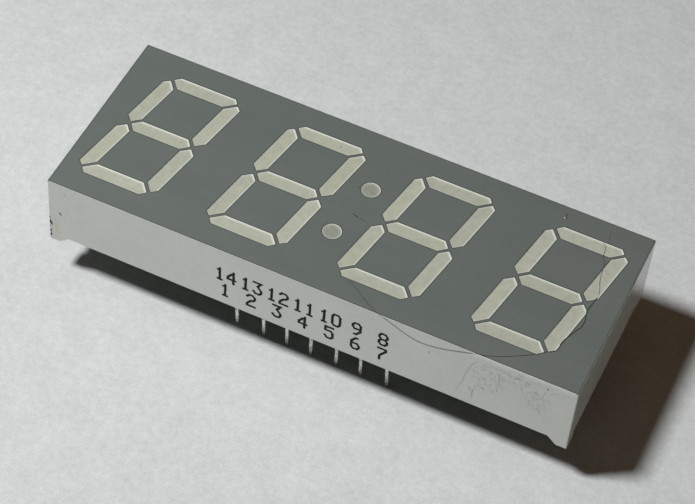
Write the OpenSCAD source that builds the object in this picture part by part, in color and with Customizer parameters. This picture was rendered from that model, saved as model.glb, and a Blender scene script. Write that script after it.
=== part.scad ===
// Four digit, seven segment LED clock display with a colon.
// A moulded reflector case carries resin filled light wells under a grey
// printed face, a small circuit board closes the wells from behind, and two
// rows of wire pins leave the back. The part stands on its pin tips, face up:
// Z = 0 is the plane of the pin tips, X runs along the row of digits and Y
// points to the top edge of the digits. All sizes are in millimetres.

/* [Body] */
// Length of the case along the row of digits
body_l = 50.8; // [50.2:0.1:52.0]
// Width of the case across the digits
body_w = 19.05; // [18.8:0.05:20.5]
// Height of the case wall from its lower edge to the face
case_h = 7.2; // [6.6:0.1:8.0]
// Height of the corner feet below the wall
foot_h = 0.8; // [0.4:0.1:1.2]
// Length of the flat foot along the case
foot_l = 1.05; // [0.8:0.05:1.6]
// Width of the flat foot across the case
foot_w = 1.5; // [1.0:0.1:2.4]
// Thickness of the rear rim round the circuit board
rim_t = 1.1; // [0.9:0.05:1.3]
// Depth of the rear recess that takes the board and the resin
recess_d = 2.4; // [2.1:0.1:2.8]
// Chamfer worn off the outer corner of the front left foot
foot_wear = 0.3; // [0.1:0.05:0.5]
// Thickness of the grey print on the face
print_t = 0.06; // [0.04:0.01:0.1]

/* [Digits] */
// Height of a digit, outer edge to outer edge
digit_h = 14.22; // [13.8:0.02:14.4]
// Distance from one digit to the next
digit_pitch = 12.7; // [12.5:0.05:12.8]
// Lean of the digits to the right, in degrees
digit_slant = 10; // [8:0.5:11]
// Share of a segment's outline that its well keeps at the bottom
well_taper = 0.62; // [0.55:0.01:0.8]
// Radius of a colon dot at the face
colon_r = 0.87; // [0.7:0.01:1.0]
// Half the distance between the two colon dots, along the digit's height
colon_dy = 2.98; // [2.6:0.02:3.2]

/* [Pins] */
// Number of pins in one row
pins_per_row = 7; // [7]
// Distance between neighbouring pins of a row
pin_pitch = 2.54; // [2.54]
// Distance between the two rows of pins
row_pitch = 15.24; // [15.24]
// Radius of the pin wire
pin_r = 0.2; // [0.18:0.01:0.25]
// How much thicker in radius the shank is where it enters the case
shank_swell = 0.03; // [0.02:0.01:0.05]
// Length of the pins below the corner feet
pin_len = 4.3; // [3.3:0.1:5.0]
// Length of the tapered tip of a pin
tip_len = 0.7; // [0.5:0.05:1.0]
// Radius of a pin's blunt end
tip_r = 0.09; // [0.06:0.01:0.14]
// How much shorter the first front pin was cut than the others
trim_first = 0.35; // [0:0.05:0.6]
// How much shorter the second front pin was cut than the others
trim_second = 0.15; // [0:0.05:0.6]

/* [Inside] */
// Thickness of the circuit board
board_t = 0.8; // [0.6:0.05:1.0]
// Gap between the board's edge and the rim
board_gap = 0.15; // [0.1:0.01:0.25]
// Length of a light emitting chip's side
die_a = 0.3; // [0.24:0.01:0.34]
// Height of a light emitting chip
die_h = 0.25; // [0.2:0.01:0.3]
// Thickness of a bond wire
wire_t = 0.04; // [0.03:0.01:0.05]
// Depth of the rear resin's surface above the rim's lower edge
resin_sink = 0.25; // [0.1:0.05:0.4]

/* [Hidden] */

// Heights above the pin tips
z_foot = pin_len;
z_rim = z_foot + foot_h;
z_face = z_rim + case_h;
z_case = z_face - print_t;
z_board = z_rim + recess_d;
z_back = z_board - board_t;
z_resin = z_rim + resin_sink;
fill_h = z_face - z_board;

// Outline scale: the segment outlines below are drawn for a 14.22 mm digit
k = digit_h / 14.22;
shear = tan(digit_slant);

// Upright outlines of the seven segments, centred on the digit
seg_top = [[-3.23, 6.63], [-2.30, 5.72], [2.30, 5.72], [3.23, 6.63], [2.78, 7.11], [-2.78, 7.11]];
seg_side = [[3.24, 0.24], [3.93, 0.90], [3.93, 5.98], [3.45, 6.40], [2.56, 5.50], [2.56, 0.91]];
seg_mid = [[-2.99, 0], [-2.32, -0.69], [2.32, -0.69], [2.99, 0], [2.32, 0.69], [-2.32, 0.69]];
function turned(p) = [for (q = p) [-q[0], -q[1]]];
function flipped(p) = [for (i = [len(p) - 1 : -1 : 0]) [-p[i][0], p[i][1]]];
SEGMENTS = [seg_top, seg_side, turned(flipped(seg_side)), turned(seg_top),
            turned(seg_side), flipped(seg_side), seg_mid];

// Outline s of digit d in place: scaled, leaning and moved along the row
function digit_x(d) = (d - 1.5) * digit_pitch;
function outline(d, s) = [for (q = SEGMENTS[s]) [k * (q[0] + shear * q[1]) + digit_x(d), k * q[1]]];
function middle(p) = [for (j = [0, 1]) (min([for (q = p) q[j]]) + max([for (q = p) q[j]])) / 2];
function around(p, c) = [for (q = p) [q[0] - c[0], q[1] - c[1]]];
function colon_at(u) = [u * colon_dy * shear, u * colon_dy];

// One tapered well or its resin, from the board up to height h above it
module taper(d, s, h) {
    p = outline(d, s);
    c = middle(p);
    full = z_face - z_board;
    grow = well_taper + (1 - well_taper) * h / full;
    translate([c[0], c[1], z_board])
        linear_extrude(height = h, scale = grow / well_taper)
            polygon([for (q = around(p, c)) q * well_taper]);
}

module colon_taper(u, h) {
    full = z_face - z_board;
    translate([colon_at(u)[0], colon_at(u)[1], z_board])
        cylinder(h = h, r1 = colon_r * 0.7, r2 = colon_r * (0.7 + 0.3 * h / full), $fn = 48);
}

// A light emitting chip and its bond wire at the middle of a well. Both lie
// along the well: turn is the well's direction in degrees from the row's
module chip_at(w) {
    translate([w[0], w[1], z_board]) rotate([0, 0, w[2]]) translate([-die_a / 2, -die_a / 2, 0])
        cube([die_a, die_a, die_h]);
}
// The wire climbs from the chip's top and comes down on its pad beside it
module wire_at(w) {
    t = wire_t;
    top = die_h + 0.12;
    translate([w[0], w[1], z_board]) rotate([0, 0, w[2]]) translate([0, t / 2, 0])
        rotate([90, 0, 0]) linear_extrude(height = t)
            polygon([[-0.05, die_h], [0.05, die_h], [0.05, top], [0.42, top],
                     [0.42, 0], [0.52, 0], [0.52, top + t], [-0.05, top + t]]);
}
module chip_pocket(w) { chip_at(w); wire_at(w); }

// Every well as [x, y, turn]: twenty-eight segments, then the two colon dots
function is_side(s) = s == 1 || s == 2 || s == 4 || s == 5;
function well(d, s) = concat(middle(outline(d, s)), [is_side(s) ? 90 - digit_slant : 0]);
function colon_well(u) = concat(colon_at(u), [0]);
WELLS = concat([for (d = [0 : 3]) for (s = [0 : 6]) well(d, s)], [colon_well(1), colon_well(-1)]);

// Pin n counts from 1 at the front left, along the front row, then back
function pin_x(n) = (n <= pins_per_row ? n - 1 - (pins_per_row - 1) / 2
                                       : (pins_per_row - 1) / 2 - (n - pins_per_row - 1)) * pin_pitch;
function pin_y(n) = (n <= pins_per_row ? -1 : 1) * row_pitch / 2;
z_head = z_board + 0.35;
head_r = pin_r + 0.2;
shank_r = pin_r + shank_swell;
z_shank = z_rim - 0.1;
module at_pin(n) { translate([pin_x(n), pin_y(n), 0]) children(); }

module foot(sx, sy) {
    // A flat foot at the corner with a sloped inner side
    x0 = body_l / 2;
    y0 = body_w / 2;
    b = foot_l + foot_h * 1.06;
    mirror([sx < 0 ? 1 : 0, 0, 0]) mirror([0, sy < 0 ? 1 : 0, 0])
        translate([0, y0, 0]) rotate([90, 0, 0]) linear_extrude(height = foot_w)
            polygon([[x0, z_foot], [x0, z_rim + 0.2], [x0 - b, z_rim + 0.2], [x0 - b, z_rim], [x0 - foot_l, z_foot]]);
}

module reflector_case() color([0.72, 0.72, 0.68]) {
    difference() {
        union() {
            translate([-body_l / 2, -body_w / 2, z_rim]) cube([body_l, body_w, z_case - z_rim]);
            foot(-1, -1);
            foot(1, -1);
            foot(-1, 1);
            foot(1, 1);
        }
        // Rear recess for the board and the resin
        translate([-body_l / 2 + rim_t, -body_w / 2 + rim_t, z_rim - 1])
            cube([body_l - 2 * rim_t, body_w - 2 * rim_t, recess_d + 1]);
        // Light wells
        for (d = [0 : 3]) for (s = [0 : 6]) taper(d, s, fill_h);
        for (u = [1, -1]) colon_taper(u, fill_h);
        // Outer corner worn off the front left foot
        translate([-body_l / 2, -body_w / 2, z_foot]) rotate([0, 45, 0])
            cube([foot_wear * sqrt(2), 2 * foot_w + 0.2, foot_wear * sqrt(2)], center = true);
        // Pockets for the pin heads
        for (n = [1 : 2 * pins_per_row]) at_pin(n)
            translate([0, 0, z_board - 0.01]) cylinder(h = z_head - z_board + 0.06, r = head_r + 0.05, $fn = 32);
    }
}

module face_print() color([0.39, 0.43, 0.42]) {
    difference() {
        translate([-body_l / 2, -body_w / 2, z_case]) cube([body_l, body_w, print_t]);
        for (d = [0 : 3]) for (s = [0 : 6]) taper(d, s, fill_h);
        for (u = [1, -1]) colon_taper(u, fill_h);
    }
}

module segment(d, s) color([0.75, 0.76, 0.66]) difference() {
    taper(d, s, fill_h);
    chip_pocket(well(d, s));
}

module segment_1a() segment(0, 0);
module segment_1b() segment(0, 1);
module segment_1c() segment(0, 2);
module segment_1d() segment(0, 3);
module segment_1e() segment(0, 4);
module segment_1f() segment(0, 5);
module segment_1g() segment(0, 6);
module segment_2a() segment(1, 0);
module segment_2b() segment(1, 1);
module segment_2c() segment(1, 2);
module segment_2d() segment(1, 3);
module segment_2e() segment(1, 4);
module segment_2f() segment(1, 5);
module segment_2g() segment(1, 6);
module segment_3a() segment(2, 0);
module segment_3b() segment(2, 1);
module segment_3c() segment(2, 2);
module segment_3d() segment(2, 3);
module segment_3e() segment(2, 4);
module segment_3f() segment(2, 5);
module segment_3g() segment(2, 6);
module segment_4a() segment(3, 0);
module segment_4b() segment(3, 1);
module segment_4c() segment(3, 2);
module segment_4d() segment(3, 3);
module segment_4e() segment(3, 4);
module segment_4f() segment(3, 5);
module segment_4g() segment(3, 6);

module colon_dot(u) color([0.65, 0.66, 0.64]) difference() {
    colon_taper(u, fill_h);
    chip_pocket(colon_well(u));
}
module colon_upper() colon_dot(1);
module colon_lower() colon_dot(-1);

module circuit_board() color([0.16, 0.36, 0.2]) difference() {
    g = rim_t + board_gap;
    translate([-body_l / 2 + g, -body_w / 2 + g, z_back]) cube([body_l - 2 * g, body_w - 2 * g, board_t]);
    for (n = [1 : 2 * pins_per_row]) at_pin(n)
        translate([0, 0, z_back - 1]) cylinder(h = board_t + 2, r = shank_r, $fn = 32);
}

module led_chips() color([0.55, 0.6, 0.2]) for (w = WELLS) chip_at(w);
module bond_wires() color([0.85, 0.68, 0.3]) for (w = WELLS) wire_at(w);

// Solder cone round each pin on the back of the board
module solder_cone(n) {
    at_pin(n) translate([0, 0, z_back - 0.55])
        cylinder(h = 0.55, r1 = shank_r + 0.07, r2 = shank_r + 0.4, $fn = 32);
}
module solder_joints() color([0.75, 0.75, 0.76]) difference() {
    for (n = [1 : 2 * pins_per_row]) solder_cone(n);
    for (n = [1 : 2 * pins_per_row]) at_pin(n)
        translate([0, 0, z_back - 1]) cylinder(h = 2, r = shank_r, $fn = 32);
}

module rear_resin() color([0.8, 0.79, 0.72]) difference() {
    translate([-body_l / 2 + rim_t, -body_w / 2 + rim_t, z_resin])
        cube([body_l - 2 * rim_t, body_w - 2 * rim_t, z_back - z_resin]);
    for (n = [1 : 2 * pins_per_row]) {
        solder_cone(n);
        at_pin(n) translate([0, 0, z_resin - 1]) cylinder(h = 3, r = shank_r, $fn = 32);
    }
}

// A headed wire pin, turned about its own axis: a tapered tip, the wire, and a
// slightly thicker shank from just below the case up to the head
function trim(n) = n == 1 ? trim_first : n == 2 ? trim_second : 0;
module pin(n) color([0.72, 0.72, 0.7]) at_pin(n) rotate_extrude($fn = 32)
    polygon([[0, trim(n)], [tip_r, trim(n)], [pin_r, trim(n) + tip_len], [pin_r, z_shank - 0.1],
             [shank_r, z_shank], [shank_r, z_board],
             [head_r, z_board], [head_r, z_head], [0, z_head]]);

module pin_01() pin(1);
module pin_02() pin(2);
module pin_03() pin(3);
module pin_04() pin(4);
module pin_05() pin(5);
module pin_06() pin(6);
module pin_07() pin(7);
module pin_08() pin(8);
module pin_09() pin(9);
module pin_10() pin(10);
module pin_11() pin(11);
module pin_12() pin(12);
module pin_13() pin(13);
module pin_14() pin(14);

reflector_case();
face_print();
segment_1a();
segment_1b();
segment_1c();
segment_1d();
segment_1e();
segment_1f();
segment_1g();
segment_2a();
segment_2b();
segment_2c();
segment_2d();
segment_2e();
segment_2f();
segment_2g();
segment_3a();
segment_3b();
segment_3c();
segment_3d();
segment_3e();
segment_3f();
segment_3g();
segment_4a();
segment_4b();
segment_4c();
segment_4d();
segment_4e();
segment_4f();
segment_4g();
colon_upper();
colon_lower();
circuit_board();
led_chips();
bond_wires();
solder_joints();
rear_resin();
pin_01();
pin_02();
pin_03();
pin_04();
pin_05();
pin_06();
pin_07();
pin_08();
pin_09();
pin_10();
pin_11();
pin_12();
pin_13();
pin_14();
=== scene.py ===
import math
import random

import bmesh
import bpy
import numpy as np
from mathutils import Matrix, Vector, noise
from mathutils.geometry import delaunay_2d_cdt


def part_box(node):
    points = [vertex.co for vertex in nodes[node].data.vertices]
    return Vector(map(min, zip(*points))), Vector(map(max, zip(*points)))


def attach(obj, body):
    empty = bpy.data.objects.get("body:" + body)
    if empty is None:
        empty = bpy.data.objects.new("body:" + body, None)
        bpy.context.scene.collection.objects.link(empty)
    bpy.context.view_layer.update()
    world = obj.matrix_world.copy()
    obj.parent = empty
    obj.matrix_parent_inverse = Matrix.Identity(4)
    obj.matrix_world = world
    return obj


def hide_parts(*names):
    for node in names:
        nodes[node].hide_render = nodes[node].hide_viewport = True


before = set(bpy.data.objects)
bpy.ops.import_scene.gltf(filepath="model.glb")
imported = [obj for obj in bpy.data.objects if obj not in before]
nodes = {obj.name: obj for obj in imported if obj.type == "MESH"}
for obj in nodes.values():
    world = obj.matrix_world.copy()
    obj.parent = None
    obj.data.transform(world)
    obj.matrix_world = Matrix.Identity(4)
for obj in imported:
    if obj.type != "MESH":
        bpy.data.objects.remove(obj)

# noise_vector starts from the clock unless it is given a seed
noise.seed_set(11)

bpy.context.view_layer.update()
scene = bpy.context.scene
MM = 0.001

# ---------------------------------------------------------------- sizes, in mm


def box_mm(node):
    lo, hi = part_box(node)
    return np.array(lo) * 1000.0, np.array(hi) * 1000.0


case_lo, case_hi = box_mm("reflector_case")
board_lo, board_hi = box_mm("circuit_board")
fill_lo, fill_hi = box_mm("rear_resin")
X1 = case_hi[0]
Y1 = case_hi[1]
YF = case_lo[1] + 0.03          # front wall, a hair's breadth inside the box
Z_FOOT = case_lo[2]
Z_RIM = fill_lo[2] - 0.25
Z_CASE = case_hi[2]
Z_BOARD = board_hi[2]
Z_BACK = board_lo[2]
Z_FILL = fill_lo[2]
Z_PRINT = Z_CASE + 0.015        # top of the grey print
RIM = 1.1
TAPER = 0.62
DIGITS = (1, 2, 3, 4)
LETTERS = "abcdefg"

# ------------------------------------------------------------- camera and light

cam_data = bpy.data.cameras.new("camera")
cam_data.sensor_width = 36.0
cam_data.sensor_fit = "HORIZONTAL"
cam_data.lens = 122.24003731062099
cam_data.clip_start = 0.005
cam_data.clip_end = 5.0
camera = bpy.data.objects.new("camera", cam_data)
scene.collection.objects.link(camera)
camera.matrix_world = Matrix((
    (0.9055908503986991, -0.36169015340326033, 0.22155235183876132, 0.04730663413962979),
    (0.4195339972251683, 0.6869502447658968, -0.5933722157199025, -0.12671992220096015),
    (0.06242144540486688, 0.6303011931982995, 0.7738371721533974, 0.17167894914697424),
    (0.0, 0.0, 0.0, 1.0)))
scene.camera = camera
scene.view_settings.view_transform = "Standard"
scene.view_settings.look = "None"
scene.view_settings.exposure = 0.0
scene.view_settings.gamma = 1.0


def disk_light(name, toward, distance, size, power, colour):
    """A round soft light that shines on the middle of the part from toward."""
    data = bpy.data.lights.new(name, "AREA")
    data.shape = "DISK"
    data.size = size
    data.energy = power
    data.color = colour
    light = bpy.data.objects.new(name, data)
    d = Vector(toward).normalized()
    light.location = d * distance + Vector((0.0, 0.0, 0.008))
    light.rotation_mode = "QUATERNION"
    light.rotation_quaternion = d.to_track_quat("Z", "Y")
    scene.collection.objects.link(light)
    return light


disk_light("key", (-0.44, -0.30, 1.0), 0.30, 0.0473, 1.09, (1.0, 1.0, 0.985))

world = bpy.data.worlds.new("studio")
world.use_nodes = True
tree = world.node_tree
toward = tree.nodes.new("ShaderNodeTexCoord").outputs["Generated"]
sky = tree.nodes.new("ShaderNodeSeparateXYZ")
tree.links.new(toward, sky.inputs[0])
# a weak fill, warm from above, the right and the back, cool and dim from the front
across = tree.nodes.new("ShaderNodeVectorMath")
across.operation = "DOT_PRODUCT"
tree.links.new(toward, across.inputs[0])
across.inputs[1].default_value = (0.22, 0.36, 0.22)
fill = tree.nodes.new("ShaderNodeValToRGB")
fill.color_ramp.elements[0].position = 0.15
fill.color_ramp.elements[0].color = (0.010, 0.021, 0.026, 1.0)
fill.color_ramp.elements[1].position = 0.80
fill.color_ramp.elements[1].color = (0.094, 0.053, 0.024, 1.0)
centred = tree.nodes.new("ShaderNodeMath")
centred.operation = "ADD"
tree.links.new(across.outputs["Value"], centred.inputs[0])
centred.inputs[1].default_value = 0.40
tree.links.new(centred.outputs[0], fill.inputs[0])
# an even pale band along the horizon stands behind the part in low views
above = tree.nodes.new("ShaderNodeMapRange")
tree.links.new(sky.outputs["Z"], above.inputs["Value"])
above.inputs["From Min"].default_value = 0.075
above.inputs["From Max"].default_value = 0.13
both = tree.nodes.new("ShaderNodeMix")
both.data_type = "RGBA"
tree.links.new(above.outputs["Result"], both.inputs["Factor"])
both.inputs[6].default_value = (0.105, 0.105, 0.101, 1.0)
tree.links.new(fill.outputs[0], both.inputs[7])
tree.links.new(both.outputs[2], tree.nodes["Background"].inputs["Color"])
scene.world = world

# ------------------------------------------------------------- material helpers


class Nodes:
    """A short way to write a material's node tree."""

    def __init__(self, name):
        self.mat = bpy.data.materials.new(name)
        self.mat.use_nodes = True
        self.tree = self.mat.node_tree
        self.bsdf = self.tree.nodes["Principled BSDF"]
        self.coord = self.add("ShaderNodeTexCoord").outputs["Object"]

    def add(self, kind, **props):
        n = self.tree.nodes.new(kind)
        for k, v in props.items():
            setattr(n, k, v)
        return n

    def link(self, a, b):
        self.tree.links.new(a, b)

    def put(self, socket, value):
        """Sets a socket, or links it if value is another node's output."""
        if isinstance(value, bpy.types.NodeSocket):
            self.link(value, socket)
        elif isinstance(value, (tuple, list)) and len(value) == 3 and len(socket.default_value) == 4:
            socket.default_value = (*value, 1.0)
        else:
            socket.default_value = value

    def noise(self, scale, detail=3.0, rough=0.5, stretch=None, distortion=0.0, shift=(0, 0, 0)):
        n = self.add("ShaderNodeTexNoise")
        n.inputs["Scale"].default_value = scale
        n.inputs["Detail"].default_value = detail
        n.inputs["Roughness"].default_value = rough
        n.inputs["Distortion"].default_value = distortion
        m = self.add("ShaderNodeMapping")
        m.inputs["Location"].default_value = shift
        if stretch:
            m.inputs["Scale"].default_value = stretch
        self.link(self.coord, m.inputs["Vector"])
        self.link(m.outputs["Vector"], n.inputs["Vector"])
        return n.outputs["Fac"]

    def ramp(self, fac, stops, smooth=False):
        r = self.add("ShaderNodeValToRGB")
        r.color_ramp.interpolation = "EASE" if smooth else "LINEAR"
        while len(r.color_ramp.elements) < len(stops):
            r.color_ramp.elements.new(0.5)
        for e, (at, c) in zip(r.color_ramp.elements, stops):
            e.position = at
            e.color = (c, c, c, 1.0) if isinstance(c, (int, float)) else (*c, 1.0)
        self.link(fac, r.inputs["Fac"])
        return r.outputs["Color"]

    def range(self, value, a, b, c=0.0, d=1.0, smooth=False):
        r = self.add("ShaderNodeMapRange")
        r.interpolation_type = "SMOOTHSTEP" if smooth else "LINEAR"
        self.put(r.inputs["Value"], value)
        for k, v in zip(("From Min", "From Max", "To Min", "To Max"), (a, b, c, d)):
            r.inputs[k].default_value = v
        return r.outputs["Result"]

    def math(self, op, a, b=0.0):
        m = self.add("ShaderNodeMath", operation=op)
        self.put(m.inputs[0], a)
        self.put(m.inputs[1], b)
        return m.outputs[0]

    def mix(self, fac, a, b, blend="MIX"):
        m = self.add("ShaderNodeMix", data_type="RGBA", blend_type=blend)
        self.put(m.inputs["Factor"], fac)
        self.put(m.inputs[6], a)
        self.put(m.inputs[7], b)
        return m.outputs[2]

    def axis(self, letter):
        s = self.add("ShaderNodeSeparateXYZ")
        self.link(self.coord, s.inputs[0])
        return s.outputs[letter]

    def near(self, point_mm, inner_mm, outer_mm, scale=(1, 1, 1)):
        """1 within inner of a point, falling to 0 at outer."""
        m = self.add("ShaderNodeMapping", vector_type="POINT")
        m.inputs["Location"].default_value = [-p * MM * s for p, s in zip(point_mm, scale)]
        m.inputs["Scale"].default_value = scale
        self.link(self.coord, m.inputs["Vector"])
        d = self.add("ShaderNodeVectorMath", operation="LENGTH")
        self.link(m.outputs["Vector"], d.inputs[0])
        return self.range(d.outputs["Value"], inner_mm * MM, outer_mm * MM, 1.0, 0.0, True)

    def attribute(self, name, out="Fac"):
        a = self.add("ShaderNodeAttribute", attribute_name=name)
        return a.outputs[out]

    def bump(self, heights):
        """heights: (value, micrometres of full height) pairs, stacked."""
        normal = None
        for value, um in heights:
            b = self.add("ShaderNodeBump")
            b.inputs["Strength"].default_value = 1.0
            b.inputs["Distance"].default_value = um * 1e-6
            self.link(value, b.inputs["Height"])
            if normal is not None:
                self.link(normal, b.inputs["Normal"])
            normal = b.outputs["Normal"]
        self.link(normal, self.bsdf.inputs["Normal"])

    def set(self, **values):
        for k, v in values.items():
            self.put(self.bsdf.inputs[k.replace("_", " ")], v)
        return self.mat


def case_plastic():
    n = Nodes("case_plastic")
    x, y, z = n.axis("X"), n.axis("Y"), n.axis("Z")
    broad = n.noise(160.0, 3.0, 0.55)
    colour = n.ramp(broad, [(0.3, (0.598, 0.608, 0.570)), (0.7, (0.630, 0.640, 0.604))])
    grain = n.noise(5200.0, 2.0, 0.6)
    colour = n.mix(1.0, colour, n.range(grain, 0.25, 0.75, 0.93, 1.03), "MULTIPLY")
    # greyish handling smudges
    smudge = n.range(n.noise(420.0, 5.0, 0.62, shift=(0.3, 0.1, 0.7)), 0.56, 0.74)
    colour = n.mix(n.math("MULTIPLY", smudge, 0.22), colour, (0.48, 0.485, 0.455))
    # painted shade on the face's top edges: they are darkened towards near black to dull the light the rounded edges
    # catch, a little over the whole top, most along the two ends, less along the front and least at its right, where
    # the corner is rubbed clean
    right = n.range(x, 15.2 * MM, 16.0 * MM, 0.0, 1.0, True)
    top = n.range(z, (Z_CASE - 0.11) * MM, (Z_CASE - 0.02) * MM, 0.0, 1.0, True)
    edge_y = n.range(y, (YF + 0.15) * MM, (YF + 0.30) * MM, 1.0, 0.0)
    edge_x = n.range(n.math("ABSOLUTE", x), (X1 - 0.30) * MM, (X1 - 0.15) * MM, 0.0, 1.0)
    top_edge_shade = n.math("MULTIPLY", top, n.math("ADD", 0.03, n.math("ADD", n.math("MULTIPLY", edge_x, 0.45), n.math("MULTIPLY", edge_y, n.range(right, 0.0, 1.0, 0.30, 0.18)))))
    colour = n.mix(top_edge_shade, colour, (0.05, 0.055, 0.05))
    front = n.range(y, (YF + 0.02) * MM, (YF + 0.10) * MM, 1.0, 0.0)
    rubbed = n.range(z, (Z_CASE - 0.42) * MM, (Z_CASE - 0.34) * MM, 0.0, 1.0, True)
    rubbed = n.math("MULTIPLY", n.math("MULTIPLY", rubbed, right), front)
    colour = n.mix(1.0, colour, n.math("ADD", n.math("MULTIPLY", rubbed, 0.13), 1.0), "MULTIPLY")
    # grey rubbed-in grime round the scuffs at the right of the front wall
    spots = None
    for at, core, reach in (((17.5, YF, 9.7), 0.9, 2.1), ((20.0, YF, 10.9), 0.8, 1.7), ((21.9, YF, 9.3), 0.7, 1.8)):
        spot = n.near(at, core, reach)
        spots = spot if spots is None else n.math("MAXIMUM", spots, spot)
    grime = n.math("MULTIPLY", n.range(n.noise(1900.0, 4.0, 0.7, shift=(0.6, 0.2, 0.5)), 0.47, 0.66), n.math("MULTIPLY", spots, front))
    colour = n.mix(n.math("MULTIPLY", grime, 0.60), colour, (0.34, 0.35, 0.32))
    # brownish stain on the chipped front left corner
    stain = n.math("MULTIPLY", n.near((-24.95, -9.5, 6.0), 0.30, 1.2, (1, 1, 0.55)),
                   n.range(n.noise(2600.0, 3.0), 0.35, 0.65))
    colour = n.mix(n.math("MULTIPLY", stain, 0.40), colour, (0.50, 0.40, 0.29))
    # smooth sides, duller where the face's edge is handled
    rough = n.range(n.noise(700.0, 4.0, 0.6), 0.3, 0.7, 0.40, 0.55)
    rough = n.mix(top, n.range(n.noise(900.0, 3.0, 0.6), 0.3, 0.7, 0.12, 0.19), rough)
    n.bump([(n.noise(120.0, 1.0), 40.0), (n.noise(1400.0, 3.0, 0.6), 2.0), (grain, 1.0)])
    return n.set(Base_Color=colour, Roughness=rough)


def face_print():
    n = Nodes("face_print")
    broad = n.noise(95.0, 3.0, 0.5)
    colour = n.ramp(broad, [(0.3, (0.0965, 0.1140, 0.1076)), (0.7, (0.1047, 0.1222, 0.1154))])
    # painted shade: the print darkens towards each window and towards the face's outer border, standing for the shaded
    # window edges and the dark gaps between segments
    colour = n.mix(n.math("MULTIPLY", n.range(n.attribute("rim"), 0.05, 0.75, 0.0, 1.0, True), 0.78), colour, (0.036, 0.043, 0.036))
    grain = n.noise(9000.0, 2.0, 0.7)
    colour = n.mix(1.0, colour, n.range(grain, 0.2, 0.8, 0.90, 1.08), "MULTIPLY")
    fleck = n.range(n.noise(3300.0, 2.0, 0.5, shift=(0.2, 0.5, 0.1)), 0.72, 0.78)
    colour = n.mix(n.math("MULTIPLY", fleck, 0.25), colour, (0.18, 0.20, 0.185))
    wipe = n.noise(300.0, 4.0, 0.6, stretch=(0.25, 1.6, 1.0), shift=(0.0, 0.3, 0.0))
    rough = n.range(wipe, 0.3, 0.7, 0.46, 0.60)
    n.bump([(n.noise(900.0, 3.0, 0.55), 3.0), (grain, 1.2)])
    return n.set(Base_Color=colour, Roughness=rough)


def resin(name, deep, pale, edge_tint):
    """Diffusing resin. The mesh's edge attribute is 1 at the rim and 0 inside; tone is the segment's own shade."""
    n = Nodes(name)
    cloud = n.noise(1500.0, 4.0, 0.6)
    colour = n.ramp(cloud, [(0.3, deep), (0.7, pale)])
    grain = n.noise(10500.0, 3.0, 0.75)
    colour = n.mix(1.0, colour, n.range(grain, 0.25, 0.75, 0.79, 1.21), "MULTIPLY")
    brushed = n.noise(3200.0, 3.0, 0.6, stretch=(1.0, 0.35, 1.0), shift=(0.1, 0.6, 0.0))
    colour = n.mix(1.0, colour, n.range(brushed, 0.3, 0.7, 0.965, 1.035), "MULTIPLY")
    colour = n.mix(n.math("MULTIPLY", n.attribute("edge"), 0.55), colour, edge_tint)
    tone = n.attribute("tone", "Color")
    colour = n.mix(1.0, colour, tone, "MULTIPLY")
    speck = n.range(n.noise(2100.0, 1.0, 0.5, shift=(0.7, 0.2, 0.4)), 0.76, 0.80)
    colour = n.mix(n.math("MULTIPLY", speck, 0.35), colour, (0.30, 0.29, 0.22))
    rough = n.range(n.noise(2500.0, 3.0), 0.3, 0.7, 0.36, 0.50)
    n.bump([(n.noise(1100.0, 2.0), 5.0), (n.noise(5200.0, 3.0, 0.6), 2.0)])
    return n.set(Base_Color=colour, Roughness=rough)


def tinned_metal():
    """Stamped tinned leads: bright on the broad face, specked with dull spots, darkened over the lowest 1.9 mm towards
    the dark cut end, mostly painted shade near the floor.
    """
    n = Nodes("tinned_pin")
    streak = n.noise(2600.0, 4.0, 0.65, stretch=(1.0, 1.0, 0.25))
    colour = n.ramp(streak, [(0.3, (0.66, 0.65, 0.61)), (0.7, (0.92, 0.91, 0.87))])
    dull = n.range(n.noise(5500.0, 2.0, 0.6, shift=(0.1, 0.4, 0.2)), 0.56, 0.60)
    colour = n.mix(n.math("MULTIPLY", dull, 0.88), colour, (0.12, 0.115, 0.10))
    # painted shade near the floor, down to the dark cut end: the lead darkens from 1.9 mm down to 0.2 mm
    tip = n.range(n.axis("Z"), 0.20 * MM, 1.9 * MM, 1.0, 0.0, True)
    colour = n.mix(n.math("MULTIPLY", tip, 0.85), colour, (0.09, 0.085, 0.075))
    rough = n.range(streak, 0.3, 0.7, 0.30, 0.46)
    n.bump([(streak, 4.0), (n.noise(9000.0, 3.0, 0.6), 3.0)])
    return n.set(Base_Color=colour, Roughness=rough, Metallic=0.85)


def solder_metal():
    n = Nodes("solder")
    blotch = n.noise(3200.0, 4.0, 0.6)
    colour = n.ramp(blotch, [(0.3, (0.50, 0.50, 0.50)), (0.7, (0.70, 0.70, 0.69))])
    n.bump([(blotch, 8.0), (n.noise(12000.0, 2.0), 2.0)])
    return n.set(Base_Color=colour, Roughness=n.range(blotch, 0.3, 0.7, 0.22, 0.42), Metallic=1.0)


def gold_metal():
    n = Nodes("gold_wire")
    blotch = n.noise(9000.0, 3.0)
    colour = n.ramp(blotch, [(0.3, (0.72, 0.50, 0.20)), (0.7, (0.86, 0.64, 0.30))])
    return n.set(Base_Color=colour, Roughness=n.range(blotch, 0.3, 0.7, 0.18, 0.30), Metallic=1.0)


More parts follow.
